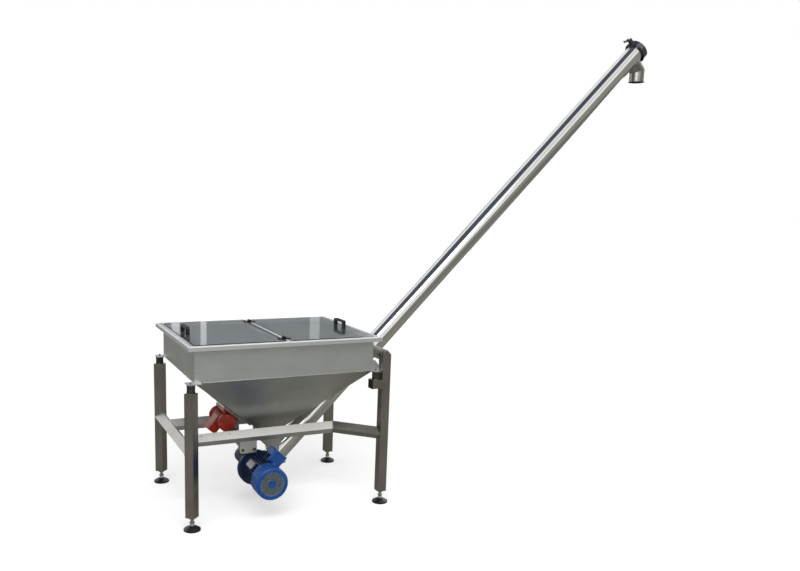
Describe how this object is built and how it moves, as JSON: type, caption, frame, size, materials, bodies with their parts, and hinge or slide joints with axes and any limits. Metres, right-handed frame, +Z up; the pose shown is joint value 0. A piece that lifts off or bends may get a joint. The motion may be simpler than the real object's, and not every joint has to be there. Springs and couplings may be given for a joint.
{
  "type": "inclined screw conveyor",
  "caption": "Inclined screw conveyor: lidded hopper on rubber buffers over a tube at 45 degrees with a driven screw inside and a spout at its top.",
  "frame": {"origin": "on the floor, under the middle of the whole machine's box", "axes": "+X from the hopper towards the outlet spout, +Y away from the motor's fan side, +Z up"},
  "size_m": [3.2047, 0.859, 2.8016],
  "materials": {
    "stainless": "satin brushed stainless steel",
    "polished": "polished stainless steel",
    "hopper_sheet": "brushed stainless sheet",
    "clear_pane": "clear acrylic sheet",
    "black_plastic": "moulded black plastic",
    "rubber": "black rubber",
    "blue_paint": "gloss blue paint",
    "dark_blue_paint": "gloss blue paint on a casting",
    "red_paint": "gloss red orange paint",
    "zinc": "plated steel",
    "dark_steel": "machined steel",
    "bronze": "bronze",
    "silicone": "white silicone rubber"
  },
  "bodies": {
    "frame": {"ball_bearings": "dark_steel", "buffer_studs": "zinc", "cable_glands": "black_plastic", "clamp_ring": "polished", "conveyor_tube": "polished", "corner_braces": "stainless", "divider_bar": "hopper_sheet", "drive_beam": "stainless", "drive_hangers": "stainless", "fan_cover": "blue_paint", "fan_grille": "blue_paint", "gearbox_cover": "dark_blue_paint", "gearbox_housing": "dark_blue_paint", "hex_bolts": "zinc", "hinge_bases": "black_plastic", "hopper_body": "hopper_sheet", "hopper_lugs": "hopper_sheet", "inlet_neck": "hopper_sheet", "inlet_sleeve": "silicone", "left_legs": "stainless", "left_side_rail": "stainless", "lock_nuts": "zinc", "long_rails": "stainless", "motor_flange": "dark_blue_paint", "motor_frame": "dark_blue_paint", "outlet_spout": "polished", "portal_crossbar": "stainless", "right_legs": "stainless", "rubber_buffers": "rubber", "saddle_u_bolts": "zinc", "seal_housing": "stainless", "shaft_seal": "rubber", "sleeve_bands": "stainless", "stub_end_caps": "black_plastic", "terminal_box": "blue_paint", "terminal_box_lid": "blue_paint", "tube_end_cap": "polished", "tube_saddle": "stainless", "vibrator_body": "red_paint", "vibrator_covers": "red_paint", "vibrator_mount": "stainless"},
    "screw": {"screw_shaft": "dark_steel", "screw_flights": "stainless", "worm_wheel": "bronze"},
    "rotor": {"motor_rotor": "dark_steel", "worm_shaft": "dark_steel", "cooling_fan": "black_plastic"},
    "eccentric": {"vibrator_rotor": "dark_steel"},
    "left_cover": {"left_lid": "clear_pane", "left_lid_handle": "black_plastic", "left_hinge_leaves": "black_plastic"},
    "right_cover": {"right_lid": "clear_pane", "right_lid_handle": "black_plastic", "right_hinge_leaves": "black_plastic"},
    "left_front_leveller": {"left_front_foot": "stainless"},
    "right_front_leveller": {"right_front_foot": "stainless"},
    "left_back_leveller": {"left_back_foot": "stainless"},
    "right_back_leveller": {"right_back_foot": "stainless"},
    "clamp_bolt": {"swing_bolt": "zinc"},
    "clamp_nut": {"wing_nut": "zinc"}
  },
  "joints": [
    {"name": "screw_spin", "type": "hinge", "parent": "frame", "child": "screw", "pos_m": [-1.06352, 0.0065, 0.13364], "axis": [0.7071, 0, 0.7071], "continuous": true},
    {"name": "motor_spin", "type": "hinge", "parent": "frame", "child": "rotor", "pos_m": [-1.1413, 0.0065, 0.21143], "axis": [0, -1, 0], "continuous": true},
    {"name": "vibrator_spin", "type": "hinge", "parent": "frame", "child": "eccentric", "pos_m": [-1.29071, 0.0065, 0.47278], "axis": [0, 1, 0], "continuous": true},
    {"name": "left_lid_hinge", "type": "hinge", "parent": "frame", "child": "left_cover", "pos_m": [-1.03736, 0.0065, 0.974], "axis": [0, 1, 0], "range_deg": [0, 80]},
    {"name": "right_lid_hinge", "type": "hinge", "parent": "frame", "child": "right_cover", "pos_m": [-1.03736, 0.0065, 0.974], "axis": [0, -1, 0], "range_deg": [0, 80]},
    {"name": "left_front_foot_slide", "type": "slide", "parent": "frame", "child": "left_front_leveller", "axis": [0, 0, 1], "range_m": [-0.03, 0.012]},
    {"name": "left_back_foot_slide", "type": "slide", "parent": "frame", "child": "left_back_leveller", "axis": [0, 0, 1], "range_m": [-0.03, 0.012]},
    {"name": "right_front_foot_slide", "type": "slide", "parent": "frame", "child": "right_front_leveller", "axis": [0, 0, 1], "range_m": [-0.03, 0.012]},
    {"name": "right_back_foot_slide", "type": "slide", "parent": "frame", "child": "right_back_leveller", "axis": [0, 0, 1], "range_m": [-0.03, 0.012]},
    {"name": "swing_bolt_pivot", "type": "hinge", "parent": "frame", "child": "clamp_bolt", "pos_m": [1.46156, 0, 2.786], "axis": [0.7071, 0, 0.7071], "range_deg": [0, 100]},
    {"name": "wing_nut_spin", "type": "hinge", "parent": "clamp_bolt", "child": "clamp_nut", "pos_m": [1.46156, 0.0165, 2.786], "axis": [0, 1, 0], "continuous": true}
  ],
  "couplings": [
    {"joint": "motor_spin", "follows": "screw_spin", "ratio": 40}
  ]
}
